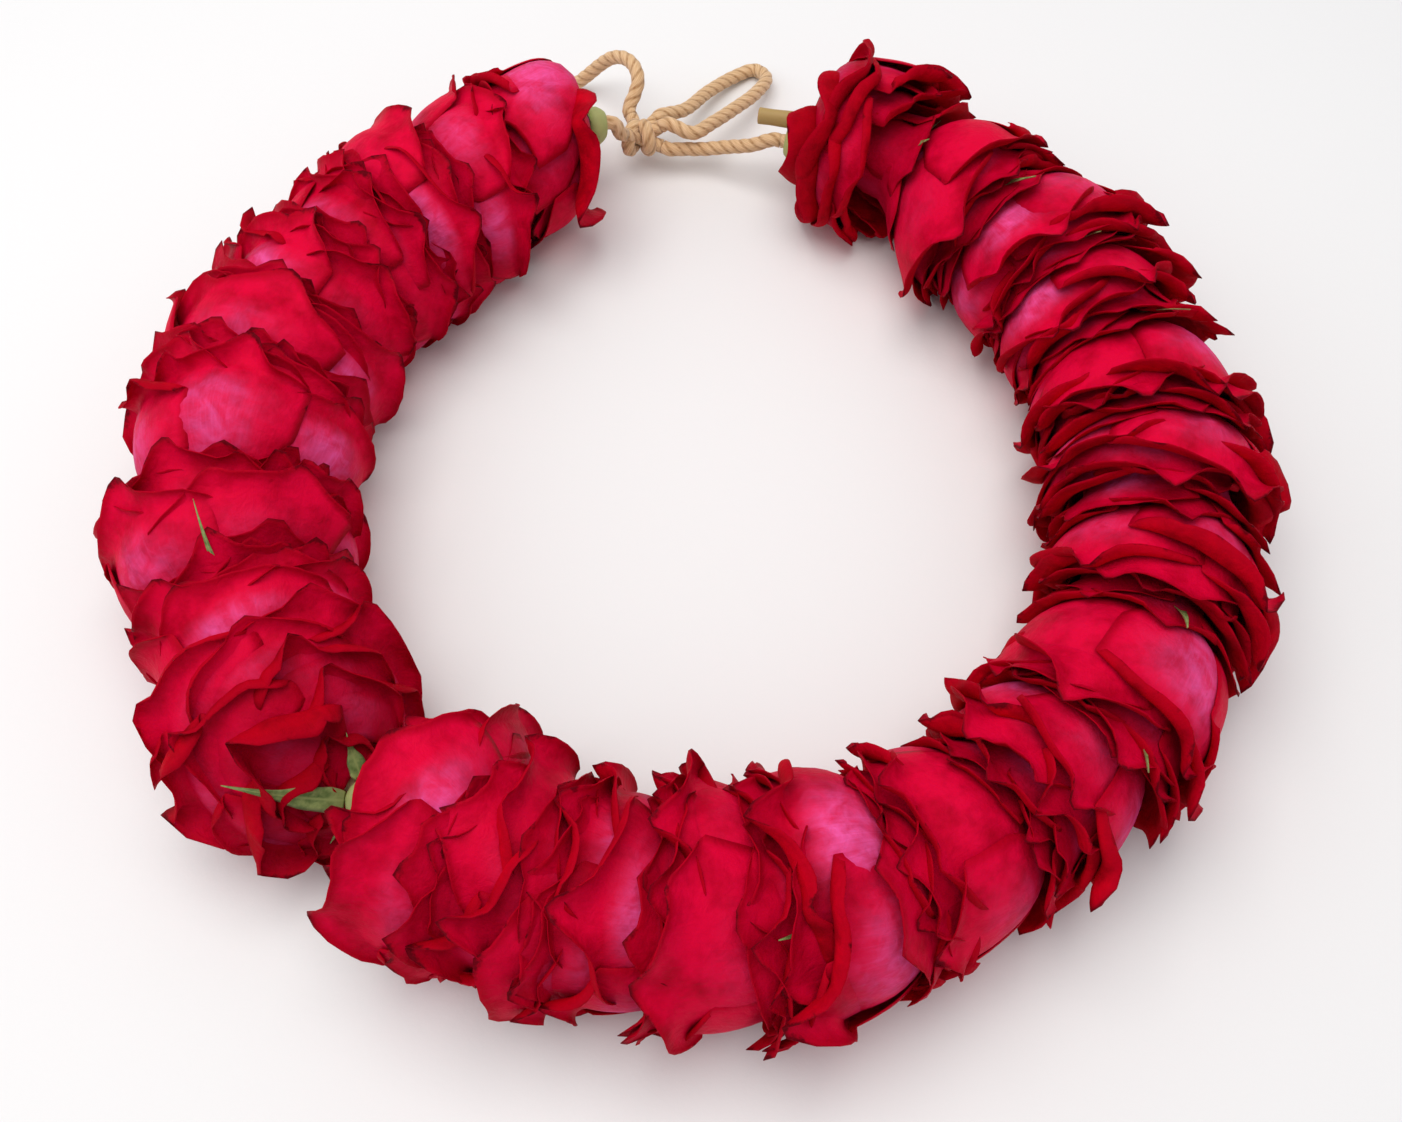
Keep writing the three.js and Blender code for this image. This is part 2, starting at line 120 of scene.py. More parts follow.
# The strand: one line for each flower, from the left end of the gap round to the right end. rim is its place
# round the ring in degrees, base that of its foot, radius its half width, lean how it tips along the strand
# and sepal how far its longest sepal reaches. outer and inner are how wide it is beside its solid, on the
# ring's outer side and on its inner side.
flowerKeys = ("rim", "base", "radius", "lean", "sepal", "outer", "inner")
flowerTable = [
    (118, 105.5, 32, 0.1, 12, 0.9, 0.98),
    (121.5, 134.5, 31.5, 0.1, 12, 1.04, 1.04),
    (131, 145, 34, 0.1, 12, 1.04, 1.05),
    (140.5, 155, 32.5, 0.1, 12, 0.96, 1.03),
    (150.5, 165.5, 33, 0.05, 12, 0.92, 0.97),
    (160.5, 178, 36, 0, 12, 0.95, 0.88),
    (172.5, 193, 39, 0, 12, 0.82, 0.97),
    (188, 207, 36, 0.05, 40, 1.0, 0.99),
    (201.5, 219, 37, 0.15, 12, 0.8, 0.82),
    (213, 230, 38, 0.4, 26, 1.0, 0.85),
    (236, 251, 34.5, 0.1, 12, 0.91, 1.12),
    (246, 261.5, 32.5, 0, 12, 0.83, 0.9),
    (255.5, 272.5, 32, 0, 12, 0.81, 1.02),
    (266, 284, 33, 0, 32, 0.87, 1.07),
    (277.5, 296.5, 34.5, 0, 22, 0.89, 1.06),
    (290.5, 309.5, 31, 0.05, 12, 0.86, 1.07),
    (304, 325, 31.5, 0.1, 34, 0.82, 1.07),
    (319.5, 340, 31.5, 0.1, 34, 0.99, 1.02),
    (334, 353.5, 32, 0.1, 12, 1.01, 1.04),
    (347, 367, 36, 0.1, 28, 0.92, 1.05),
    (361, 381, 35, 0.1, 36, 0.83, 1.03),
    (375, 395, 34, 0.1, 30, 0.87, 0.97),
    (389.5, 408, 33, 0.1, 34, 1.05, 0.92),
    (402.5, 421, 34, 0.1, 24, 0.85, 1.0),
    (415.5, 435, 34, 0.05, 12, 0.85, 1.06),
]
strand = dict(
    ringRadius=147.0,
    boxCentre=(-2.83, -1.69),
    restShare=0.86,  # how flat the flowers are pressed where they lie
    leftEnd=dict(out=15.0, full=104.0, none=130.0),
    rightEnd=dict(out=15.0, none=398.0, full=436.0),
    besideStem=dict(start=424.0, end=435.0, reach=-5.5, drop=-5.5, near=6.0, far=24.0),
    footRadius=5.0,
    hipRadius=7.0,
    hipLength=7.0,
    hipGap=0.5,
    tableClearance=0.6,
    nestClearance=1.5,
    unevenness=0.14,
    shortSepal=12.0,
    usualLength=48,  # of a flower, that the petals' sizes are given for
)


def arc(fromAngle, toAngle):
    return abs(toAngle - fromAngle) * degree * strand["ringRadius"]


flowers = []
for index, row in enumerate(flowerTable):
    flower = dict(zip(flowerKeys, row))
    flower.update(
        index=index,
        number=index + 1,
        way=1 if flower["base"] > flower["rim"] else -1,
        length=arc(flower["rim"], flower["base"]),
        nested=flowers[index - 1] if index > 1 else None,  # the first two stand rim to rim
        swirl=2 * math.pi * chance(index, 1, 1),
        blunt=index in (0, len(flowerTable) - 1),
    )
    flowers.append(flower)
middles = np.array([(flower["rim"] + flower["base"]) / 2 for flower in flowers])


# A value of the flowers at a place round the ring, eased from the middle of one flower to the next.
def eased(angle, key):
    values = np.array([flower[key] for flower in flowers])
    place = np.clip(np.searchsorted(middles, angle), 1, len(flowers) - 1)
    share = smooth(middles[place - 1], middles[place], angle)
    return mix(values[place - 1], values[place], share)


def centreHeight(angle):
    return strand["restShare"] * eased(angle, "radius")


def centreReach(angle):
    left, right = strand["leftEnd"], strand["rightEnd"]
    leftOut = left["out"] * (1 - smooth(left["full"], left["none"], angle))
    rightOut = right["out"] * smooth(right["none"], right["full"], angle)
    return strand["ringRadius"] + leftOut + rightOut


# Points of the model, in millimetres, from their places in the strand: the angle round the ring, how far out
# from the strand's middle, and the turn round it, from the ring's outer side over the top. lowest keeps them
# above the table.
def onStrand(angle, out, turn, lowest=-1e6):
    angle, out, turn = np.broadcast_arrays(*[np.asarray(value, float) for value in (angle, out, turn)])
    stem = strand["besideStem"]
    tipped = eased(angle, "lean") * out * np.sin(turn) / strand["ringRadius"] / degree
    leaned = (angle - tipped) * degree
    moved = smooth(stem["start"], stem["end"], angle) * (1 - smooth(stem["near"], stem["far"], out))
    reach = centreReach(angle) + out * np.cos(turn) + moved * stem["reach"]
    z = centreHeight(angle) + out * np.sin(turn) + moved * stem["drop"]
    x = reach * np.cos(leaned) - strand["boxCentre"][0]
    y = reach * np.sin(leaned) - strand["boxCentre"][1]
    return np.stack([x, y, np.maximum(z, lowest)], axis=-1)


# The angle round the ring at a depth from a flower's rim towards its foot.
def angleAt(flower, depth):
    return flower["rim"] + flower["way"] * depth / strand["ringRadius"] / degree


# A flower's round body, by depth from its rim to its foot, with its corners eased. The end ones are blunt.
profileDepth = [0, 0.15, 0.35, 0.52, 0.68, 0.8, 0.9, 1]
profileWidth = [0.97, 1, 0.99, 0.93, 0.8, 0.62, 0.4, 0.17]
bluntDepth = [0, 0.15, 0.35, 0.55, 0.75, 0.87, 0.95, 1]
bluntWidth = [0.97, 1, 1, 0.98, 0.9, 0.76, 0.52, 0.2]
fineDepth = np.linspace(-0.1, 1.1, 241)
easing = np.ones(25) / 25  # over 25 of these steps
fineWidth, fineBlunt = [
    np.convolve(np.pad(np.interp(fineDepth, *outline), len(easing) // 2, "edge"), easing, "valid")
    for outline in ((profileDepth, profileWidth), (bluntDepth, bluntWidth))]


def body(flower, depth):
    share = np.clip(depth / flower["length"], 0, 1)
    outline = fineBlunt if flower["blunt"] else fineWidth
    return np.maximum(strand["footRadius"], flower["radius"] * np.interp(share, fineDepth, outline))


# The same body where the table flattens it.
def bodyAt(flower, depth, turn):
    down = np.maximum(1e-3, -np.sin(turn))
    room = (centreHeight(angleAt(flower, depth)) - strand["tableClearance"]) / down
    return np.minimum(body(flower, depth), room)


# The room that the flower before takes up in this one's cup.
def nest(flower, depth):
    before = flower["nested"]
    if not before:
        return np.full(np.shape(depth), strand["footRadius"])
    beforeDepth = depth + arc(before["rim"], flower["rim"])
    pastFoot = beforeDepth - before["length"]
    hip = np.where(pastFoot < strand["hipLength"] + 2, strand["hipRadius"] + 2, strand["footRadius"])
    return np.where(pastFoot < 0, body(before, beforeDepth) + strand["nestClearance"], hip)


# Turns petals a little closer together on one side of their flower.
def uneven(flower, turn):
    return turn + strand["unevenness"] * np.sin(turn - flower["swirl"] * 2.3 + 1)


# Gathers points in millimetres into one mesh object in metres, with named values kept at its points for its
# material.
class Gathered:
    def __init__(self):
        self.points = []
        self.faces = []
        self.values = {}
        self.count = 0

    def add(self, points, faces, values):
        self.points.append(points)
        self.faces.extend([corner + self.count for corner in face] for face in faces)
        for key, value in values.items():
            self.values.setdefault(key, []).append(value)
        self.count += len(points)

    def piece(self, name, material, slot, node):
        mesh = bpy.data.meshes.new(name)
        mesh.from_pydata((np.concatenate(self.points) * mm).tolist(), [], self.faces)
        for key, parts in self.values.items():
            attribute = mesh.attributes.new(key, "FLOAT_VECTOR", "POINT")
            attribute.data.foreach_set("vector", np.concatenate(parts).astype(np.float32).ravel())
        mesh.polygons.foreach_set("use_smooth", [True] * len(mesh.polygons))
        mesh.materials.append(material)
        mesh.validate()
        piece = bpy.data.objects.new(name, mesh)
        bpy.context.collection.objects.link(piece)
        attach(piece, "root")
        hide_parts(node)
        return piece


# The faces of rings of points that close round themselves, the last of them on the first.
def wrapped(rings, corners):
    faces = []
    for i in range(rings):
        for k in range(corners):
            j, n = (i + 1) % rings, (k + 1) % corners
            faces.append((i * corners + k, i * corners + n, j * corners + n, j * corners + k))
    return faces


# The faces of a sheet of points, of its other side, whose points follow, and of the strip between them.
def twoSided(rows, columns, flipped):
    index = np.arange(rows * columns).reshape(rows, columns)
    top = np.stack([index[:-1, :-1], index[1:, :-1], index[1:, 1:], index[:-1, 1:]], axis=-1).reshape(-1, 4)
    under = top[:, ::-1] + rows * columns
    border = np.concatenate([index[:, 0], index[-1, 1:], index[-2::-1, -1], index[0, -2:0:-1]])
    after = np.roll(border, -1)
    strip = np.stack([after, border, border + rows * columns, after + rows * columns], axis=-1)
    quads = np.vstack([top, under, strip])
    return (quads[:, ::-1] if flipped else quads).tolist()


# The values side by side, a row for each point of a grid.
def atPoints(*values):
    return np.stack(np.broadcast_arrays(*values), axis=-1).reshape(-1, len(values))


# The jute string, and its ways in the strand's frame before it is centred. They repeat the solids' routes.
jute = dict(
    radius=2.75,
    lobes=3,  # three plies
    grooveDepth=0.14,
    grooveWidth=0.7,  # smaller gives narrower grooves
    pitch=14.0,  # one turn of the three plies
    step=1.1,
    stringStep=2.2,  # longer, as the flowers hide the string
    sides=21,
    endBulge=0.4,
    tableClearance=0.15,
    knotCentre=(-23.5, 165.5, 14),
    knotReach=9.5,
    jointGap=0.3,
    straightRun=3.0,  # at a cord's end
    pastFirstHip=3.0,
    pastLastHip=1.5,
)
knotWays = dict(
    string=(-0.56, -0.52, 0.64),
    line=(0.93, -0.3, -0.2),
    loopOut=(0.62, 0.76, 0.18),
    loopBack=(0.88, 0.12, 0.46),
    end=(-0.34, 0.88, 0.33),
)
tieRoutes = dict(
    line=[(20.7, 156.5, 18.5), (10.7, 160.2, 14), (2, 161.8, 11.5), (-5.9, 162.5, 10.8)],
    loop=[
        (-6, 183.2, 12),
        (3.7, 199.4, 7),
        (14.6, 212.1, 3.8),
        (23.1, 217.3, 3),
        (27.9, 209.5, 5.5),
        (23.3, 196.5, 9),
        (14.1, 183.2, 12.5),
        (5.2, 171.9, 15.5),
        (-2.7, 163.6, 18),
    ],
    end=[
        (-25.2, 181.6, 22),
        (-24, 185.5, 25),
        (-25.7, 191.8, 26.5),
        (-29.9, 197.7, 25.5),
        (-35, 201.9, 22),
        (-40.3, 204.9, 16),
        (-45.8, 206.6, 9.5),
        (-50.7, 207.7, 4.5),
        (-55.3, 205.3, 2.9),
        (-59.3, 201.8, 2.9),
    ],
)


def centred(points):
    return np.asarray(points, float) - np.array([*strand["boxCentre"], 0])


def fromKnot(way, reach):
    direction = np.array(knotWays[way])
    return np.array(jute["knotCentre"]) + reach * direction / np.linalg.norm(direction)


def leaving(way):
    return [fromKnot(way, jute["knotReach"] + past) for past in (jute["jointGap"], jute["straightRun"])]


# A smooth way through points, with a point at every step of its length.
def smoothWay(points, step):
    points = np.asarray(points, float)
    ends = np.vstack([2 * points[0] - points[1], points, 2 * points[-1] - points[-2]])
    knots = np.concatenate([[0], np.cumsum(np.linalg.norm(np.diff(ends, axis=0), axis=1) ** 0.5)])
    fine = []
    for i in range(1, len(ends) - 2):
        p0, p1, p2, p3 = ends[i - 1:i + 3]
        t0, t1, t2, t3 = knots[i - 1:i + 3]
        t = np.linspace(t1, t2, 24, endpoint=False)[:, None]  # much finer than the step
        a1 = mix(p0, p1, (t - t0) / (t1 - t0))
        a2 = mix(p1, p2, (t - t1) / (t2 - t1))
        a3 = mix(p2, p3, (t - t2) / (t3 - t2))
        b1 = mix(a1, a2, (t - t0) / (t2 - t0))
        b2 = mix(a2, a3, (t - t1) / (t3 - t1))
        fine.append(mix(b1, b2, (t - t1) / (t2 - t1)))
    fine = np.vstack(fine + [points[-1:]])
    run = np.concatenate([[0], np.cumsum(np.linalg.norm(np.diff(fine, axis=0), axis=1))])
    marks = np.linspace(0, run[-1], max(2, round(run[-1] / step) + 1))
    return np.stack([np.interp(marks, run, fine[:, axis]) for axis in range(3)], axis=1)


def wayLength(way):
    return float(np.linalg.norm(np.diff(way, axis=0), axis=1).sum())


# Adds a length of the twisted cord: a tube whose outline has a lobe for each ply and turns as it goes.
def addCord(gathered, way, closed=False):
    ahead = np.gradient(way, axis=0)
    if closed:
        ahead = np.roll(way, -1, axis=0) - np.roll(way, 1, axis=0)
    ahead /= np.linalg.norm(ahead, axis=1)[:, None]
    side = np.cross(ahead[0], [0.3, 0.2, 1.0])
    sides = []
    for direction in ahead:
        side = side - direction * side.dot(direction)
        side = side / np.linalg.norm(side)
        sides.append(side)
    sides = np.array(sides)
    ups = np.cross(ahead, sides)
    run = np.concatenate([[0], np.cumsum(np.linalg.norm(np.diff(way, axis=0), axis=1))])
    around = 2 * math.pi * np.arange(jute["sides"]) / jute["sides"]
    ply = around[None, :] - 2 * math.pi * run[:, None] / jute["pitch"]
    ridge = np.abs(np.cos(0.5 * jute["lobes"] * ply)) ** jute["grooveWidth"]
    reach = jute["radius"] * (1 - jute["grooveDepth"] * (1 - ridge))
    aside = np.cos(around)[None, :, None] * sides[:, None] + np.sin(around)[None, :, None] * ups[:, None]
    points = (way[:, None] + reach[..., None] * aside).reshape(-1, 3)
    fibre = atPoints(run[:, None], ply * jute["radius"], ridge)
    faces = wrapped(len(way), jute["sides"])
    if not closed:
        faces = faces[:-jute["sides"]]
        first = len(points)
        last = first + 1
        lastRing = first - jute["sides"]
        bulge = jute["endBulge"]
        points = np.vstack([points, way[0] - bulge * ahead[0], way[-1] + bulge * ahead[-1]])
        fibre = np.vstack([fibre, [0, 0, 0.3], [run[-1], 0, 0.3]])
        for k in range(jute["sides"]):
            n = (k + 1) % jute["sides"]
            faces.append((first, n, k))
            faces.append((last, lastRing + k, lastRing + n))
    points[:, 2] = np.maximum(points[:, 2], jute["tableClearance"])
    gathered.add(points, faces, {"fibrePlace": fibre})


# Twisted jute: dull, dry plant fibre, spun into three plies. It gives the eye pale golden threads that run
# aslant, with painted shade darkening the gaps between the plies, and no shine at all.
juteLook = dict(
    pale="#E2C298",
    warm="#C49C6C",
    # painted shade for the gaps between the plies
    grooveShade="#9E7448",
    threadSpacing=0.35,  # mm, coarser than real jute fibre so that it shows
    threadSlant=0.55,
    roughness=0.92,
)


def twistedJute():
    material, tree = newMaterial("twistedJute")
    alongCord, roundCord, ridgeHeight = keptValues(tree, "fibrePlace")
    slanted = addNode(tree, "ShaderNodeMath", {
        0: alongCord, 1: juteLook["threadSlant"], 2: roundCord}, operation="MULTIPLY_ADD")
    across = addNode(tree, "ShaderNodeMath", {
        0: slanted, 1: 1 / juteLook["threadSpacing"]}, operation="MULTIPLY")
    along = addNode(tree, "ShaderNodeMath", {0: alongCord, 1: 0.22}, operation="MULTIPLY")
    vector = addNode(tree, "ShaderNodeCombineXYZ", {"X": across, "Y": along})
    fibres = addNode(tree, "ShaderNodeTexNoise", {"Vector": vector, "Scale": 1.0, "Detail": 3.0})
    tone = addNode(tree, "ShaderNodeValToRGB", {"Fac": fibres},
                   stops=[(0.32, linear(juteLook["warm"])), (0.62, linear(juteLook["pale"]))])
    # Painted shade: the colour darkens from the ridges of the plies down into the gaps between them.
    ridge = addNode(tree, "ShaderNodeMapRange", {"Value": ridgeHeight, "From Min": 0.15, "From Max": 0.7})
    colour = addNode(tree, "ShaderNodeMix", {
        0: ridge, 6: linear(juteLook["grooveShade"]), 7: tone}, data_type="RGBA")
    bump = addNode(tree, "ShaderNodeBump", {"Height": fibres, "Strength": 0.6, "Distance": 0.0004})
    return surfaced(material, {
        "Base Color": colour,
        "Roughness": juteLook["roughness"],
        "Specular IOR Level": 0.2,
        "Sheen Weight": 0.25,
        "Normal": bump,
    })


juteMaterial = twistedJute()

# The cords of the tie, each along its solid's route.
stringStart, stringEnd = [
    flower["base"] + side * (strand["hipLength"] + past) / strand["ringRadius"] / degree
    for flower, side, past in ((flowers[0], -1, jute["pastFirstHip"]), (flowers[-1], 1, jute["pastLastHip"]))]
afterString = [
    onStrand(stringEnd + past / strand["ringRadius"] / degree, 0, 0)
    for past in (jute["jointGap"], jute["straightRun"])]
lineRoute = np.vstack([afterString, centred(tieRoutes["line"] + leaving("line")[::-1])])
loopRoute = centred(leaving("loopOut") + tieRoutes["loop"] + leaving("loopBack")[::-1])
endRoute = centred(leaving("end") + tieRoutes["end"])

# The knot: two turns of the cord round the middle, and the five ends that come out of it.
knotTurns = [
    dict(along=-2.6, tilt=0.35, radius=4.6),
    dict(along=2.8, tilt=-0.3, radius=4.4),
]
knotPiece = Gathered()
knotMiddle = centred(jute["knotCentre"])
for way in knotWays:
    outwards = centred(fromKnot(way, jute["knotReach"]))
    addCord(knotPiece, smoothWay([knotMiddle, mix(knotMiddle, outwards, 0.5), outwards], jute["step"]))
for turnOfCord in knotTurns:
    turn = np.linspace(0, 2 * math.pi, 28, endpoint=False)
    reach = turnOfCord["radius"]
    offset = np.stack([
        turnOfCord["along"] + turnOfCord["tilt"] * reach * np.cos(turn),
        reach * np.cos(turn),
        reach * np.sin(turn),
    ], axis=1)
    addCord(knotPiece, knotMiddle + offset, closed=True)
knot = knotPiece.piece("tie_knot_wound", juteMaterial, "jute", "tie_knot")

for name, route, farEnd in (
    ("line", lineRoute, "knot"),
    ("loop", loopRoute, "knot"),
    ("end", endRoute, "bare"),
):
    way = smoothWay(route, jute["step"])
    gathered = Gathered()
    addCord(gathered, way)
    piece = gathered.piece(f"tie_{name}_twisted", juteMaterial, "jute", f"tie_{name}")
    print("cord", name, round(wayLength(way), 1), "mm")

# The string through all the flowers, from the knot to the last flower's foot.
stringAngles = np.linspace(stringStart, stringEnd, 61)
stringRoute = np.vstack([centred(leaving("string")), onStrand(stringAngles, 0, 0)])
stringPiece = Gathered()
addCord(stringPiece, smoothWay(stringRoute, jute["stringStep"]))
stringPiece.piece("string_twisted", juteMaterial, "jute", "string")
print("jute made")


# Rose petals: thin living tissue with a skin of tiny cone-shaped cells. The face that was inside the bud is a
# deep velvety red with soft sheen. The back is smoother and pinker, pale along its middle, where the pale is
# also a painted highlight on the domes, with fine veins fanning out from its foot. The rims are a little
# dried and bruised, almost black in places.
petalLook = dict(
    back="#D20435",
    backDeep="#A80020",
    # the pale back, partly its own tone and partly a painted highlight
    pale="#F068B8",
    inside="#BE001B",
    # deep patches of the inside, and the painted shade deep in the flower
    insideDeepAndShade="#82000E",
    rim="#A2001A",
    bruise="#38040C",
    sheen="#FF2048",
    petalWidth=36,  # mm across the fan that the veins fill
    veinSpacing=0.6,  # mm at a petal's widest, coarser than real veins so that they show
    roughnessBack=0.5,
    roughnessInside=0.68,
    noises=dict(  # how many fit in a metre, then their detail, roughness and distortion
        patches=(90, 3, 0.6, 0),
        paleAndHighlightSpots=(130, 3, 0.55, 0.8),
        bruises=(150, 4, 0.7, 0),
        wrinkles=(260, 2, 0.5, 1.2),
        specks=(700, 3, 0.65, 0),
    ),
)


def rosePetal():
    material, tree = newMaterial("rosePetal")
    acrossFan, upPetal, ownVeins = keptValues(tree, "petalPlace")
    fromEdge, isInside, palenessAndHighlight = keptValues(tree, "petalLook")
    nearPoint, depthShade = keptValues(tree, "petalRim")[:2]
    coords = addNode(tree, "ShaderNodeTexCoord")
    patches, paleAndHighlightSpots, bruises, wrinkles, specks = [
        addNode(tree, "ShaderNodeTexNoise", {
            "Vector": coords.outputs["Object"], "Scale": scale, "Detail": detail, "Roughness": roughness,
            "Distortion": distortion})
        for scale, detail, roughness, distortion in petalLook["noises"].values()]

    # Veins: noise drawn out along the petal, many to a fan.
    veinAcross = addNode(tree, "ShaderNodeMath", {
        0: acrossFan, 1: petalLook["petalWidth"] / petalLook["veinSpacing"]}, operation="MULTIPLY")
    veinAlong = addNode(tree, "ShaderNodeMath", {0: upPetal, 1: 0.07}, operation="MULTIPLY")
    veinPlace = addNode(tree, "ShaderNodeCombineXYZ", {"X": veinAcross, "Y": veinAlong, "Z": ownVeins})
    veins = addNode(tree, "ShaderNodeTexNoise", {
        "Vector": veinPlace, "Scale": 1.0, "Detail": 4.0, "Roughness": 0.6, "Distortion": 0.7})
    veinLine = addNode(tree, "ShaderNodeMapRange", {"Value": veins, "From Min": 0.46, "From Max": 0.66})

    # The back, paler where the veins and the pale spots are, partly its own tone and partly a painted
    # highlight, and the inside, both darker in patches.
    deep = addNode(tree, "ShaderNodeMapRange", {"Value": patches, "From Min": 0.42, "From Max": 0.7})
    back = addNode(tree, "ShaderNodeMix", {
        0: deep, 6: linear(petalLook["back"]), 7: linear(petalLook["backDeep"])}, data_type="RGBA")
    paleVeins = addNode(tree, "ShaderNodeMath", {0: veinLine, 1: 0.12, 2: 0.2}, operation="MULTIPLY_ADD")
    # Pale spots: patches of painted highlight mixed with the petal's own paler tone.
    paleAndHighlightSpot = addNode(tree, "ShaderNodeMapRange", {
        "Value": paleAndHighlightSpots, "From Min": 0.4, "From Max": 0.72, "To Max": 0.5})
    paleAndHighlightSum = addNode(tree, "ShaderNodeMath", {0: paleVeins, 1: paleAndHighlightSpot}, operation="ADD")
    paleAndHighlightShare = addNode(tree, "ShaderNodeMath", {
        0: palenessAndHighlight, 1: paleAndHighlightSum}, operation="MULTIPLY", use_clamp=True)
    backPaleAndHighlight = addNode(tree, "ShaderNodeMix", {
        0: paleAndHighlightShare, 6: back, 7: linear(petalLook["pale"])}, data_type="RGBA")
    inside = addNode(tree, "ShaderNodeMix", {
        0: deep, 6: linear(petalLook["inside"]), 7: linear(petalLook["insideDeepAndShade"])}, data_type="RGBA")
    faces = addNode(tree, "ShaderNodeMix", {0: isInside, 6: backPaleAndHighlight, 7: inside}, data_type="RGBA")

    # The rim: redder for a few millimetres, then bruised where the petal was handled, most at its points.
    nearRim = addNode(tree, "ShaderNodeMapRange", {
        "Value": fromEdge, "From Min": 4.0, "From Max": 0.4, "To Max": 0.8}, interpolation_type="SMOOTHSTEP")
    bruiseWidth = addNode(tree, "ShaderNodeMapRange", {
        "Value": bruises, "From Min": 0.5, "From Max": 0.78, "To Min": -0.8, "To Max": 2.0})
    withPoints = addNode(tree, "ShaderNodeMath", {
        0: nearPoint, 1: 2.2, 2: bruiseWidth}, operation="MULTIPLY_ADD")
    bruiseRoom = addNode(tree, "ShaderNodeMath", {0: withPoints, 1: fromEdge}, operation="SUBTRACT")
    bruised = addNode(tree, "ShaderNodeMapRange", {
        "Value": bruiseRoom, "From Min": -0.2, "From Max": 1.2, "To Max": 0.8})

    # Painted shade: the whorls further into the cup are darkened, and in a flower that has bent back those
    # nearest its hip.
    colour = faces
    for share, tone in ((depthShade, "insideDeepAndShade"), (nearRim, "rim"), (bruised, "bruise")):
        colour = addNode(tree, "ShaderNodeMix", {
            0: share, 6: colour, 7: linear(petalLook[tone])}, data_type="RGBA")

    # The skin: veins and specks over slow wrinkles.
    roughness = addNode(tree, "ShaderNodeMix", {
        0: isInside, 2: petalLook["roughnessBack"], 3: petalLook["roughnessInside"]}, data_type="FLOAT")
    ridges = addNode(tree, "ShaderNodeMath", {0: veins, 1: specks}, operation="ADD")
    wrinkled = addNode(tree, "ShaderNodeBump", {"Height": wrinkles, "Strength": 0.3, "Distance": 0.0012})
    bump = addNode(tree, "ShaderNodeBump", {
        "Height": ridges, "Strength": 0.35, "Distance": 0.0004, "Normal": wrinkled})
    return surfaced(material, {
        "Base Color": colour,
        "Roughness": roughness,
        "IOR": 1.42,
        "Specular IOR Level": 0.03,
        "Sheen Weight": 0.03,
        "Sheen Roughness": 0.4,
        "Sheen Tint": linear(petalLook["sheen"]),
        "Subsurface Weight": 0.12,
        "Subsurface Radius": (1.0, 0.2, 0.15),
        "Subsurface Scale": 0.0015,
        "Normal": bump,
    })


petalMaterial = rosePetal()

# The petals' whorls, from the outermost in. half is half a petal's width, in degrees. share is how near the
# outside they stand, crest how deep the fold of the rim lies, opened the same in an open flower as a share of
# its length, band how long the folded rim is and roll how far it turns over, in degrees.
petalWhorls = [
    dict(count=5, turned=0, half=52, share=1.0, crest=(3, 13), opened=0.68, band=(6, 11), roll=(60, 190),
         slant=1.5, drop=4, bulge=2.0, root=0.97, over=0.3, across=24, up=11, round=9, thick=0.6),
    dict(count=5, turned=36, half=48, share=0.88, crest=(0, 8), opened=0.55, band=(6, 10), roll=(60, 170),
         slant=1.1, drop=4, bulge=1.5, root=0.9, over=0.6, across=22, up=9, round=8, thick=0.55),
    dict(count=5, turned=16, half=45, share=0.7, crest=(-2, 5), opened=0.42, band=(5, 9), roll=(50, 150),
         slant=0.8, drop=3, bulge=1.0, root=0.8, over=0.9, across=18, up=8, round=7, thick=0.5),
    dict(count=5, turned=52, half=43, share=0.5, crest=(-4, 2), opened=0.28, band=(4, 7), roll=(30, 120),
         slant=0.6, drop=3, bulge=0.7, root=0.68, over=1.2, across=14, up=7, round=6, thick=0.5),
    dict(count=5, turned=28, half=42, share=0.28, crest=(-6, -1), opened=0.14, band=(3, 6), roll=(20, 90),
         slant=0.4, drop=2, bulge=0.5, root=0.56, over=1.5, across=12, up=6, round=6, thick=0.5),
]
petalShape = dict(
    pointWidth=0.17,  # of half a petal's width, as the next is
    secondWidth=0.14,
    rootWidth=0.5,  # of its whole width
    sideReach=0.38,  # how much of the rim's band is left at its sides
    rimNarrowing=0.1,
    freeShare=0.2,  # how much of its opening a petal keeps on the side that lies under the next
    footCover=0.85,  # how far the end flowers' petals are rooted towards the hip
    edgeThickness=0.45,  # of its whole thickness, reached over edgeRun
    edgeRun=3,
    lowest=0.35,  # above the table, and whorlStep more for each whorl
    whorlStep=0.5,
    tableClearance=0.05,
)

# How far some flowers have opened, by their number from the left end, and how far the rims of some have moved
# at their top and at their bottom: back from the flower before, or over it where the number is below zero.
openedFlowers = {1: 0.2, 3: 0.3, 5: 0.15, 8: 0.3, 9: 0.35, 17: 0.3, 19: 0.35, 20: 0.45, 22: 0.35, 24: 0.25}
movedRims = {1: (-7, 0), 2: (-5, -2), 11: (5, 5), 25: (10, 4)}

# Flowers whose petals have bent right back over their foot: where each whorl folds, as a share of the
# flower's length, how long each folded band is, the turn in degrees that they face, how far round from it the
# bend goes, and how calm they lie. Whorls without a fold here stand as in the other flowers. Of the first
# flower only one outer petal has bent back.
bentFlowers = {
    10: dict(folds=(0.86, 0.74, 0.58, 0.4, 0.2), bands=(6, 10, 12, 13, 12), turn=90, round=360, calm=0.8),
    25: dict(folds=(0.88, 0.78, 0.66, 0.54), bands=(15, 15, 14, 13), turn=155, round=72, calm=0.3),
}
bentPetal = dict(flower=1, turn=165, round=36, fold=9, band=16, roll=140, sharpness=0.55)
bendShape = dict(
    blend=20,  # degrees over which a bend fades
    footRoom=5,
    roll=(150, 195),
    tableRoll=95,  # where the table is in the way
)


# The degrees between a petal's turn and another.
def apart(petal, turn):
    return abs((petal["turn"] / degree - turn + 180) % 360 - 180)


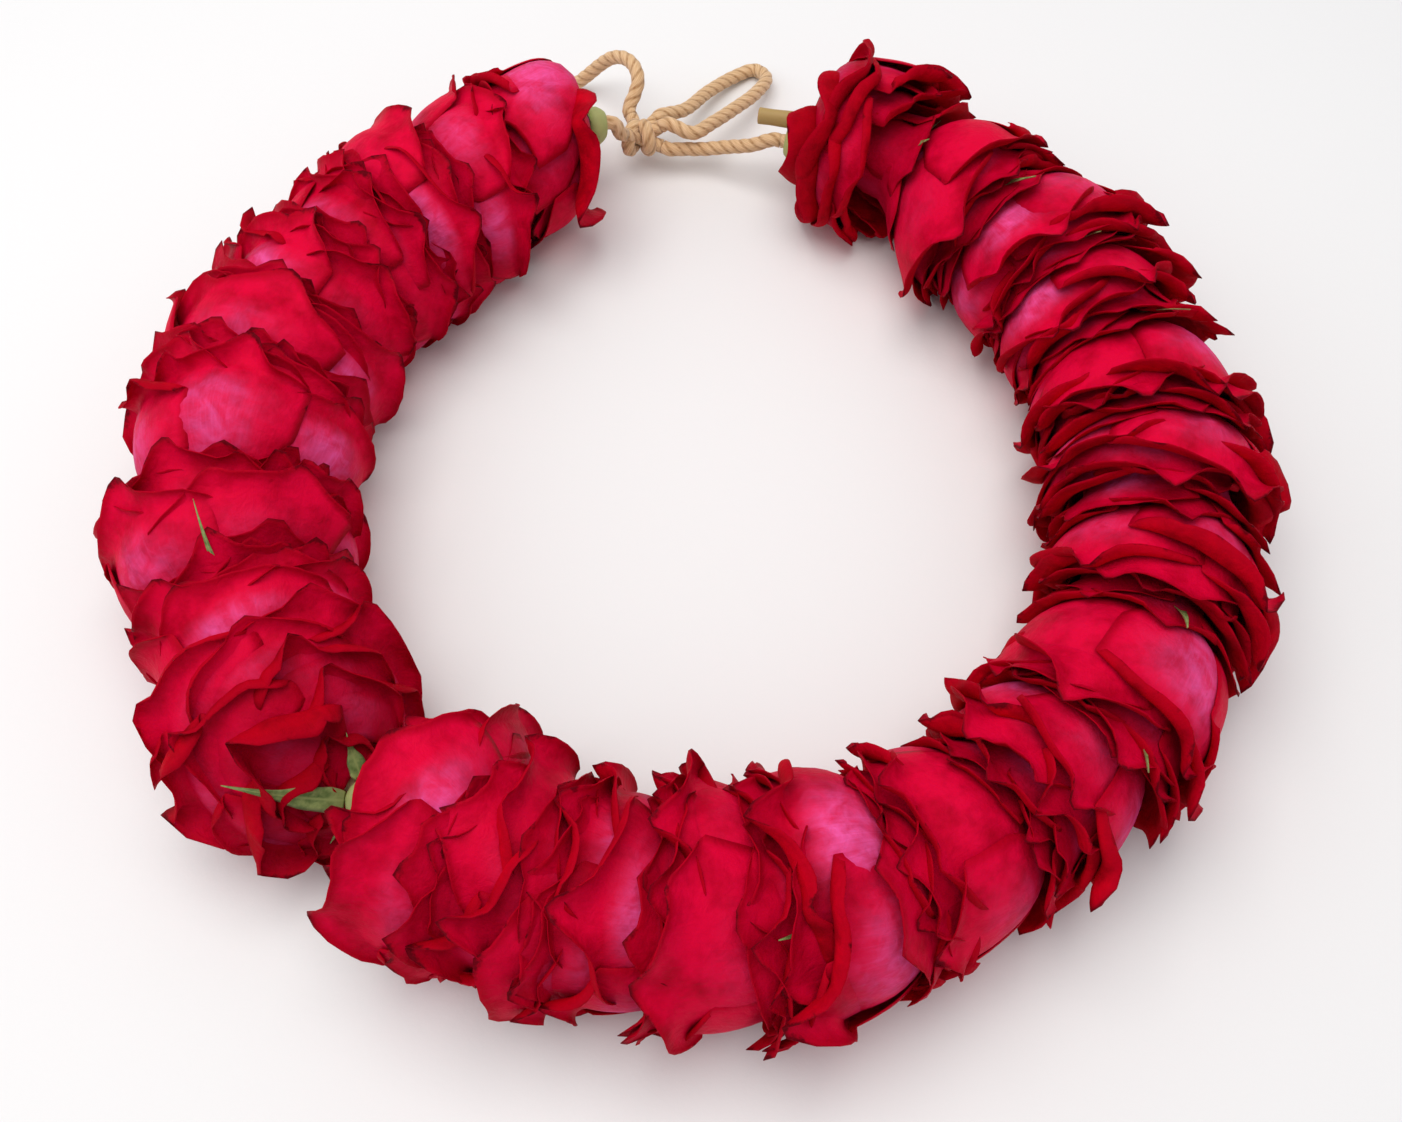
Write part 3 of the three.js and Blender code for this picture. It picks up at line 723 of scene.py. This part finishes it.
# Folds a petal back over its flower's foot, as far as it faces the bend.
def bendBack(petal, flower, whorl, bent, pick):
    blend = bendShape["blend"]
    share = float(1 - smooth(bent["round"] - blend, bent["round"] + blend, apart(petal, bent["turn"])))
    fold = bent["folds"][whorl] * flower["length"] + pick(-1.5, 1.5, 45)
    fold = min(fold, flower["length"] - bendShape["footRoom"])
    petal["bent"] = share
    petal["calm"] = mix(1, bent["calm"], share)
    petal["crest"] = mix(petal["crest"], fold, share)
    petal["band"] = mix(petal["band"], bent["bands"][whorl] * pick(0.8, 1.15, 46), share)
    petal["roll"] = mix(petal["roll"], pick(*bendShape["roll"], 47) * degree, share)
    petal["low"] = mix(petal["low"], 1, 0.7 * share)
    onTable = smooth(0.2, -0.4, math.sin(petal["turn"])) * smooth(0, 0.5, math.cos(petal["turn"]))
    petal["roll"] = mix(petal["roll"], bendShape["tableRoll"] * degree, float(onTable) * share)


# What sets one petal apart: chance draws it, and how its flower has opened and bent changes it.
def petalTraits(flower, whorl, k):
    layer = petalWhorls[whorl]
    seed = 20 * whorl + k

    def pick(low, high, at):
        return mix(low, high, chance(flower["index"], seed, at))

    size = flower["length"] / strand["usualLength"]
    turn = flower["swirl"] + (layer["turned"] + 360 / layer["count"] * (k + pick(-0.12, 0.12, 40))) * degree
    tip = pick(-0.5, 0.5, 48)
    petal = dict(
        turn=turn,
        half=layer["half"] * pick(0.95, 1.12, 41) * degree,
        dent=pick(0.1, 0.6, 42),
        wave=pick(0, 6.3, 43),
        tip=tip,
        secondTip=tip - math.copysign(pick(0.7, 1.0, 49), tip),
        secondPoint=pick(0.1, 0.7, 55),
        pointReach=pick(3, 7, 53) * mix(1, size, 0.5),
        crease=pick(0, 0.5, 51),
        ruffle=pick(0.4, 1.3, 50),
        jag=np.array([pick(-0.28, 0.28, 60 + i) for i in range(layer["across"] + 1)])[:, None],
        low=mix(0.3, 1, float(smooth(-0.7, 0.5, math.sin(turn)))),  # less room for the rim under the strand
        band=pick(*layer["band"], 46) * mix(1, size, 0.5),
        roll=pick(*layer["roll"], 47) * degree,
        sharpness=pick(0.35, 1.2, 54),
        drop=layer["drop"] * size,
        palenessAndHighlight=min(1, 1.3 * pick(0, 1, 52) ** 1.3),
        veins=7.3 * seed + flower["index"],
        bent=0,
        bentShare=1 - 0.03 * whorl,
        calm=1,
    )
    petal["open"] = petal["low"] * (max(0, pick(-9, 5, 44)) if whorl < 2 else 0)

    # The fold of the rim.
    opened = openedFlowers.get(flower["number"], 0.25 * chance(flower["index"], 5, 5))
    openCrest = (layer["opened"] + pick(-0.07, 0.07, 45)) * flower["length"]
    movedTop, movedBottom = movedRims.get(flower["number"], (0, 0))
    petal["crest"] = mix(pick(*layer["crest"], 45) * size, openCrest, opened)
    petal["crest"] += mix(movedBottom, movedTop, float(smooth(-0.4, 0.8, math.sin(turn))))

    bent = bentFlowers.get(flower["number"])
    isBentPetal = flower["number"] == bentPetal["flower"] and whorl == 0
    if bent and whorl < len(bent["folds"]):
        bendBack(petal, flower, whorl, bent, pick)
    elif isBentPetal and apart(petal, bentPetal["turn"]) < bentPetal["round"]:
        petal["crest"] = flower["length"] - bentPetal["fold"]
        petal["band"] = bentPetal["band"]
        petal["roll"] = bentPetal["roll"] * degree
        petal["sharpness"] = bentPetal["sharpness"]
    for key in ("dent", "open", "ruffle", "jag"):
        petal[key] = petal[key] * petal["calm"]

    root = mix(layer["root"], 1, petalShape["footCover"] if flower["blunt"] else 0)
    petal["root"] = min(max(root * flower["length"], petal["crest"] + 8), flower["length"] - 0.2)
    return petal


# How far out from the strand's middle a petal stands, at u across it and rise up it.
def petalOut(flower, layer, petal, u, depth, rise):
    turn = uneven(flower, petal["turn"] + u * petal["half"])
    outside = bodyAt(flower, depth, turn) * mix(flower["inner"], flower["outer"], 0.5 + 0.5 * np.cos(turn))
    room = nest(flower, depth)
    share = mix(layer["share"], petal["bentShare"], petal["bent"])
    out = mix(np.minimum(room, outside - 1), outside, share)
    over = mix(layer["over"], 0.6 * layer["over"], np.abs(u))
    out = np.maximum(out, np.where(depth < 12, room + over, 0))
    bulge = layer["bulge"] * (0.6 - u * u) * np.sin(math.pi * np.clip(rise, 0, 1) ** 0.8)
    out = out + u * layer["slant"] + bulge
    dent = petal["dent"] * np.sin(petal["wave"] + 2.2 * u + 0.16 * depth)
    free = mix(petalShape["freeShare"], 1, smooth(-0.9, 0.3, u))
    return out + dent * np.clip(rise * 1.5, 0, 1) + petal["open"] * free * np.clip(rise, 0, 1) ** 3


# One petal as two faces and the strip between them. u runs across it, rise up the dome to the fold, and along
# from the fold over the rolled rim.
def addPetal(gathered, flower, whorl, k):
    layer = petalWhorls[whorl]
    petal = petalTraits(flower, whorl, k)
    u = np.linspace(-1, 1, layer["across"] + 1)[:, None]
    rise = np.linspace(0, 1, layer["up"] + 1)[None, :]
    steps = layer["round"]
    along = (np.arange(steps) + 1)[None, :] / steps

    # The dome, from its root to the fold. A petal has two points.
    firstPoint = np.exp(-((u - petal["tip"]) / petalShape["pointWidth"]) ** 2)
    secondPoint = petal["secondPoint"] * np.exp(-((u - petal["secondTip"]) / petalShape["secondWidth"]) ** 2)
    point = petal["calm"] * (firstPoint + secondPoint)
    fold = petal["crest"] + petal["drop"] * np.abs(u) ** 1.7 + 0.5 * np.sin(7 * u + petal["wave"])
    depth = petal["root"] + (fold - petal["root"]) * rise ** 0.85
    out = petalOut(flower, layer, petal, u, depth, rise) - petal["crease"] * point * rise ** 3
    wide = mix(petalShape["rootWidth"], 1, smooth(0, 0.5, rise)) * np.ones_like(u)

    # The rim, rolled over from there.
    share = (np.arange(steps) + 0.5)[None, :] / steps
    before, after = [petalOut(flower, layer, petal, u, depth[:, -1:] + past, 1) for past in (-0.5, 0.5)]
    roll = petal["roll"] * (1 - 0.6 * point) * (0.75 + 0.35 * np.abs(u - 0.3 * petal["tip"]))
    turned = np.arctan(before - after) + roll * share ** petal["sharpness"]
    reach = petal["band"] * mix(1, petalShape["sideReach"], np.abs(u) ** 3)
    reach = reach + petal["pointReach"] * point + petal["jag"]
    stride = reach / steps
    rimDepth = depth[:, -1:] - np.cumsum(np.cos(turned) * stride, axis=1)
    rimLift = petal["low"] * (1 - 0.3 * petal["bent"])
    rimOut = out[:, -1:] + rimLift * np.cumsum(np.sin(turned) * stride, axis=1)
    rimOut = rimOut + petal["ruffle"] * along * np.sin(5.5 * u + 1.7 * petal["wave"])
    rimWide = (1 - petalShape["rimNarrowing"] * along) * np.ones_like(u)

    depth = np.hstack([depth, rimDepth])
    out = np.hstack([out, rimOut])
    wide = np.hstack([wide, rimWide])
    turn = uneven(flower, petal["turn"] + u * petal["half"] * wide)
    lowest = petalShape["lowest"] + petalShape["whorlStep"] * (whorl + np.clip(-u, 0, 1) * np.ones_like(out))
    centre = onStrand(angleAt(flower, depth), out, turn, lowest)

    # Both faces, half a thickness either side, thinner at the edge.
    normal = np.cross(np.gradient(centre, axis=0), np.gradient(centre, axis=1))
    normal /= np.maximum(np.linalg.norm(normal, axis=2), 1e-9)[..., None]
    heart = onStrand(angleAt(flower, depth), 0 * out, turn)
    middle = (len(u) // 2, layer["up"] // 2)
    outwards = 1 if np.dot(normal[middle], (centre - heart)[middle]) > 0 else -1
    toRim = np.hstack([reach + (depth[:, :layer["up"] + 1] - fold), reach * (1 - along)])
    toSide = (1 - np.abs(u)) * petal["half"] * np.abs(out)
    edge = np.maximum(np.minimum(toRim, toSide), 0)
    thick = layer["thick"] * mix(petalShape["edgeThickness"], 1, smooth(0, petalShape["edgeRun"], edge)) / 2
    faces = [centre + side * outwards * thick[..., None] * normal for side in (1, -1)]
    for face in faces:
        face[..., 2] = np.maximum(face[..., 2], petalShape["tableClearance"])

    # What the material reads: the place on the fan of veins, the distance from the edge, the face and how
    # pale it is with its painted highlight, how near a point of the rim it is, and how much painted shade it
    # takes deep in the flower.
    climb = 4 + np.cumsum(np.linalg.norm(np.diff(centre, axis=1), axis=2), axis=1)
    upTo = np.hstack([np.full((len(u), 1), 4.0), climb])
    fan = np.arctan2(u * petal["half"] * wide * np.abs(out), upTo + 8)
    fromFold = 1.02 - np.hstack([rise * np.ones_like(u), np.ones_like(rimOut)])
    # The pale heart is partly the petal's own tone and partly a painted highlight on its dome; the pale near
    # the foot is its own tone.
    heartPaleAndHighlight = petal["palenessAndHighlight"] * (1 - 0.7 * petal["bent"]) * np.exp(-(u / 0.45) ** 2)
    footPale = 0.2 * (1 - petal["bent"]) * (1 - smooth(6, 20, upTo))
    palenessAndHighlight = heartPaleAndHighlight * smooth(0.02, 0.4, fromFold) + footPale
    nearPoint = point * np.hstack([rise ** 6 + 0 * u, np.ones_like(rimOut)])
    # Painted shade, more for whorls further into the cup, and in a bent-back flower for the whorls nearest
    # its hip.
    depthShade = mix(0.06 * whorl, 0.13 * (4 - whorl), petal["bent"])
    place = atPoints(fan, upTo, petal["veins"])
    rim = atPoints(nearPoint, depthShade, 0.0)
    gathered.add(
        np.vstack([face.reshape(-1, 3) for face in faces]),
        twoSided(*centre.shape[:2], outwards < 0),
        {
            "petalPlace": np.vstack([place, place]),
            "petalLook": np.vstack([atPoints(edge, side, palenessAndHighlight) for side in (0.0, 1.0)]),
            "petalRim": np.vstack([rim, rim]),
        },
    )


for flower in flowers:
    gathered = Gathered()
    for whorl, layer in enumerate(petalWhorls):
        for k in range(layer["count"]):
            addPetal(gathered, flower, whorl, k)
    name = f"{flower['number']:02d}"
    gathered.piece(f"rose_petals_{name}", petalMaterial, "petals", f"rose_{name}")
print("roses made")


# Hip and sepals: waxy green leaf tissue, matt with a faint gloss, yellower on the hip and along the midribs.
calyxLook = dict(
    leaf="#56743A",
    leafPale="#9DAE6A",
    hip="#A9AE6E",
    edge="#7A4A3A",
    stem="#A98F58",
    cut="#C08A72",
    roughness=0.55,
    mottles=350.0,  # how many fit in a metre
)
hipShape = dict(
    outline=[(0, 3), (0, 5.6), (0.7, 6.7), (2.2, 7.3), (3.8, 7), (5.2, 6), (6.3, 4.9), (6.6, 4.2), (6.6, 3)],
    sides=24,
    tableClearance=0.1,
)
sepalShape = dict(
    usualReach=26.0,
    halfWidth=3.4,
    outline=[(0, 0.75), (0.12, 1.1), (0.4, 1.0), (0.6, 0.45), (0.85, 0.16), (1, 0.03)],
    thick=0.6,
    across=6,
    up=14,
    lift=1.4,
    longLift=3.2,
    curl=5.0,
    cup=0.9,
    wave=0.25,
    sway=3.0,
    steps=60,
    steepest=3,
)


def leafGreen():
    material, tree = newMaterial("leafGreen")
    fromMidrib, hipShare, isCut = keptValues(tree, "leafLook")
    coords = addNode(tree, "ShaderNodeTexCoord")
    mottle = addNode(tree, "ShaderNodeTexNoise", {
        "Vector": coords.outputs["Object"], "Scale": calyxLook["mottles"], "Detail": 4.0, "Roughness": 0.6})
    green = addNode(tree, "ShaderNodeValToRGB", {"Fac": mottle},
                    stops=[(0.35, linear(calyxLook["leaf"])), (0.68, linear(calyxLook["leafPale"]))])
    midrib = addNode(tree, "ShaderNodeMapRange", {"Value": fromMidrib, "From Min": 0.2, "From Max": 0.0})
    edged = addNode(tree, "ShaderNodeMapRange", {
        "Value": fromMidrib, "From Min": 0.85, "From Max": 1.0, "To Max": 0.6})
    stemShare = addNode(tree, "ShaderNodeMapRange", {"Value": hipShare, "From Min": 1.0, "From Max": 2.0})
    tones = [(midrib, "leafPale"), (edged, "edge"), (hipShare, "hip"), (stemShare, "stem"), (isCut, "cut")]
    colour = green
    for share, tone in tones:
        colour = addNode(tree, "ShaderNodeMix", {
            0: share, 6: colour, 7: linear(calyxLook[tone])}, data_type="RGBA")
    bump = addNode(tree, "ShaderNodeBump", {"Height": mottle, "Strength": 0.3, "Distance": 0.0003})
    return surfaced(material, {
        "Base Color": colour,
        "Roughness": calyxLook["roughness"],
        "IOR": 1.45,
        "Specular IOR Level": 0.4,
        "Subsurface Weight": 0.08,
        "Subsurface Radius": (0.4, 0.6, 0.2),
        "Subsurface Scale": 0.001,
        "Normal": bump,
    })


leafMaterial = leafGreen()


def addHip(gathered, flower):
    foot = flower["length"] + strand["hipGap"]
    turn = np.linspace(0, 2 * math.pi, hipShape["sides"], endpoint=False)
    ripple = 1 + 0.02 * np.sin(5 * turn + flower["index"])
    points = [
        onStrand(angleAt(flower, foot + past), out * ripple, turn, hipShape["tableClearance"])
        for past, out in hipShape["outline"]]
    rings = len(points)
    looks = np.tile([0.5, 0.85, 0.0], (rings * len(turn), 1))
    gathered.add(np.vstack(points), wrapped(rings, len(turn)), {"leafLook": looks})


# Where the photograph shows a flower's sepals: the turn of the longest in degrees, how far off the flower it
# lies where the petals under it have bent back, and how narrow they all are.
seenSepals = {
    8: dict(narrow=0.5),
    10: dict(turn=38, lift=10.5),
    14: dict(turn=60),
    17: dict(turn=62),
    18: dict(turn=75),
    21: dict(turn=80, narrow=0.7),
    23: dict(turn=95),
}


# A sepal's middle line, by its depth and how far out it lies: it starts at the hip and is laid back along the
# flower, which it climbs no steeper than its shape says.
def sepalLine(flower, turn, reach, lift, run):
    steps = sepalShape["steps"]
    step = reach / steps
    marks = [(flower["length"] + 0.9, strand["hipRadius"] - 0.6)]
    for i in range(steps):
        depth, out = marks[-1]
        following = np.maximum(out, bodyAt(flower, depth - step, turn) + lift)
        rise = min(float(following - out), sepalShape["steepest"] * step)
        share = 1 / math.hypot(step, rise)
        marks.append((depth - step * step * share, out + rise * step * share))
    return [np.interp(run * steps, np.arange(steps + 1), values) for values in zip(*marks)]


# A sepal: a pointed leaf whose tip curls up.
def addSepal(gathered, flower, turn, reach, seed):
    shape = sepalShape
    seen = seenSepals.get(flower["number"], {})
    longLift = seen.get("lift", shape["longLift"])
    lift = mix(shape["lift"], longLift, float(smooth(14, 22, reach)))
    run = np.linspace(0, 1, shape["up"] + 1)
    depth, out = sepalLine(flower, turn, reach, lift, run)
    size = reach / shape["usualReach"]
    out = out + shape["curl"] * size * run ** 3
    half = shape["halfWidth"] * size ** 0.35 * seen.get("narrow", 1) * np.interp(run, *zip(*shape["outline"]))
    u = np.linspace(-1, 1, shape["across"] + 1)[:, None]
    sway = shape["sway"] * math.sin(seed) * run[None, :] ** 2
    turns = turn + sway / out[None, :] + u * half[None, :] / out[None, :]
    cupped = shape["cup"] * (u * u) * half[None, :] / shape["halfWidth"]
    lifted = out[None, :] + cupped + shape["wave"] * np.sin(9 * run + seed)[None, :]
    angle = angleAt(flower, depth)[None, :] + 0 * u
    faces = [
        onStrand(angle, lifted + side * shape["thick"] / 2, turns, 0.2 + 0.3 * (side > 0))
        for side in (1, -1)]
    look = atPoints(np.abs(u), (1 - smooth(0, 0.25, run))[None, :] * 0.5, 0.0)
    gathered.add(
        np.vstack([face.reshape(-1, 3) for face in faces]),
        twoSided(len(u), len(run), flower["way"] > 0),
        {"leafLook": np.vstack([look, look])},
    )


# The last flower's cut stub of stem, beside the hole that the string goes in by. Its outline is by its length
# and its radius.
stubShape = dict(
    radius=3.1,
    reach=11.0,
    out=8.0,
    turn=45,
    outline=[(0, 0.01), (0, 1.15), (0.3, 1.05), (0.7, 0.97), (0.93, 1), (0.985, 1), (1, 0.86), (1, 0.01)],
    sides=20,
)


def addStub(gathered, flower):
    start, end = [
        onStrand(angleAt(flower, flower["length"] + past), stubShape["out"], stubShape["turn"] * degree)
        for past in (2.5, strand["hipLength"] + stubShape["reach"])]
    length = np.linalg.norm(end - start)
    axis = (end - start) / length
    side = np.cross(axis, [0, 0, 1.0])
    side /= np.linalg.norm(side)
    up = np.cross(axis, side)
    turn = np.linspace(0, 2 * math.pi, stubShape["sides"], endpoint=False)
    points, looks = [], []
    for at, wide in stubShape["outline"]:
        ring = stubShape["radius"] * wide * (1 + 0.05 * np.sin(3 * turn + 1))
        aside = np.cos(turn)[:, None] * side + np.sin(turn)[:, None] * up
        points.append(start + axis * at * length + ring[:, None] * aside)
        looks.append(atPoints(np.full(len(turn), 0.4), 2.0, float(at > 0.99)))
    faces = wrapped(len(points), len(turn))[:-len(turn)]
    gathered.add(np.vstack(points), faces, {"leafLook": np.vstack(looks)})


for flower in flowers:
    gathered = Gathered()
    addHip(gathered, flower)
    usualTurn = 65 + 50 * chance(flower["index"], 3, 9)
    spin = seenSepals.get(flower["number"], {}).get("turn", usualTurn) * degree
    for k in range(5):
        reach = strand["shortSepal"] * (0.85 + 0.3 * chance(flower["index"], k, 11))
        if k == 0:
            reach = flower["sepal"]
        addSepal(gathered, flower, spin + 2 * math.pi / 5 * k, reach, 3 * flower["index"] + k)
    if flower is flowers[-1]:
        addStub(gathered, flower)
    name = f"{flower['number']:02d}"
    gathered.piece(f"hip_sepals_{name}", leafMaterial, "calyx", f"calyx_{name}")
print("hips and sepals made")


# The table: a pale cloth, matt and even, with a weave too fine to see but for a slight tooth.
clothLook = dict(
    colour="#E8EAEA",
    roughness=0.95,
    threads=500.0,  # to a metre
    half=3.0,
)


def paleCloth():
    material, tree = newMaterial("paleCloth")
    coords = addNode(tree, "ShaderNodeTexCoord")
    weave = addNode(tree, "ShaderNodeTexNoise", {
        "Vector": coords.outputs["Object"], "Scale": clothLook["threads"], "Detail": 2.0})
    bump = addNode(tree, "ShaderNodeBump", {"Height": weave, "Strength": 0.15, "Distance": 0.0003})
    return surfaced(material, {
        "Base Color": linear(clothLook["colour"]),
        "Roughness": clothLook["roughness"],
        "Specular IOR Level": 0.1,
        "Normal": bump,
    })


half = clothLook["half"]
clothMesh = bpy.data.meshes.new("table_cloth")
corners = [(-half, -half, 0), (half, -half, 0), (half, half, 0), (-half, half, 0)]
clothMesh.from_pydata(corners, [], [(0, 1, 2, 3)])
clothMesh.materials.append(paleCloth())
cloth = bpy.data.objects.new("table_cloth", clothMesh)
bpy.context.collection.objects.link(cloth)

# Light: a wide soft window overhead, a weak one from the left, and an even pale room.
lights = [
    dict(name="overheadWindow", place=(-0.14, 0.03, 1.15), size=1.05, power=10, colour="#FFF8F4"),
    dict(name="leftFill", place=(-1.2, -0.1, 0.9), size=1.0, power=3, colour="#FFFFFF"),
]
room = dict(colour="#F4F4F8", strength=0.64)
for setup in lights:
    lightData = bpy.data.lights.new(setup["name"], "AREA")
    lightData.size = setup["size"]
    lightData.energy = setup["power"]
    lightData.color = linear(setup["colour"])[:3]
    light = bpy.data.objects.new(setup["name"], lightData)
    light.location = setup["place"]
    x, y, z = setup["place"]  # it faces the middle of the table
    tilt = math.pi / 2 - math.atan2(z, math.hypot(x, y))
    light.rotation_euler = (tilt, 0, math.atan2(-y, -x) - math.pi / 2)
    bpy.context.collection.objects.link(light)

world = bpy.data.worlds.new("paleRoom")
world.use_nodes = True
background = world.node_tree.nodes["Background"]
background.inputs["Color"].default_value = linear(room["colour"])
background.inputs["Strength"].default_value = room["strength"]
bpy.context.scene.world = world
bpy.context.scene.view_settings.view_transform = "Standard"
print("table and light set")
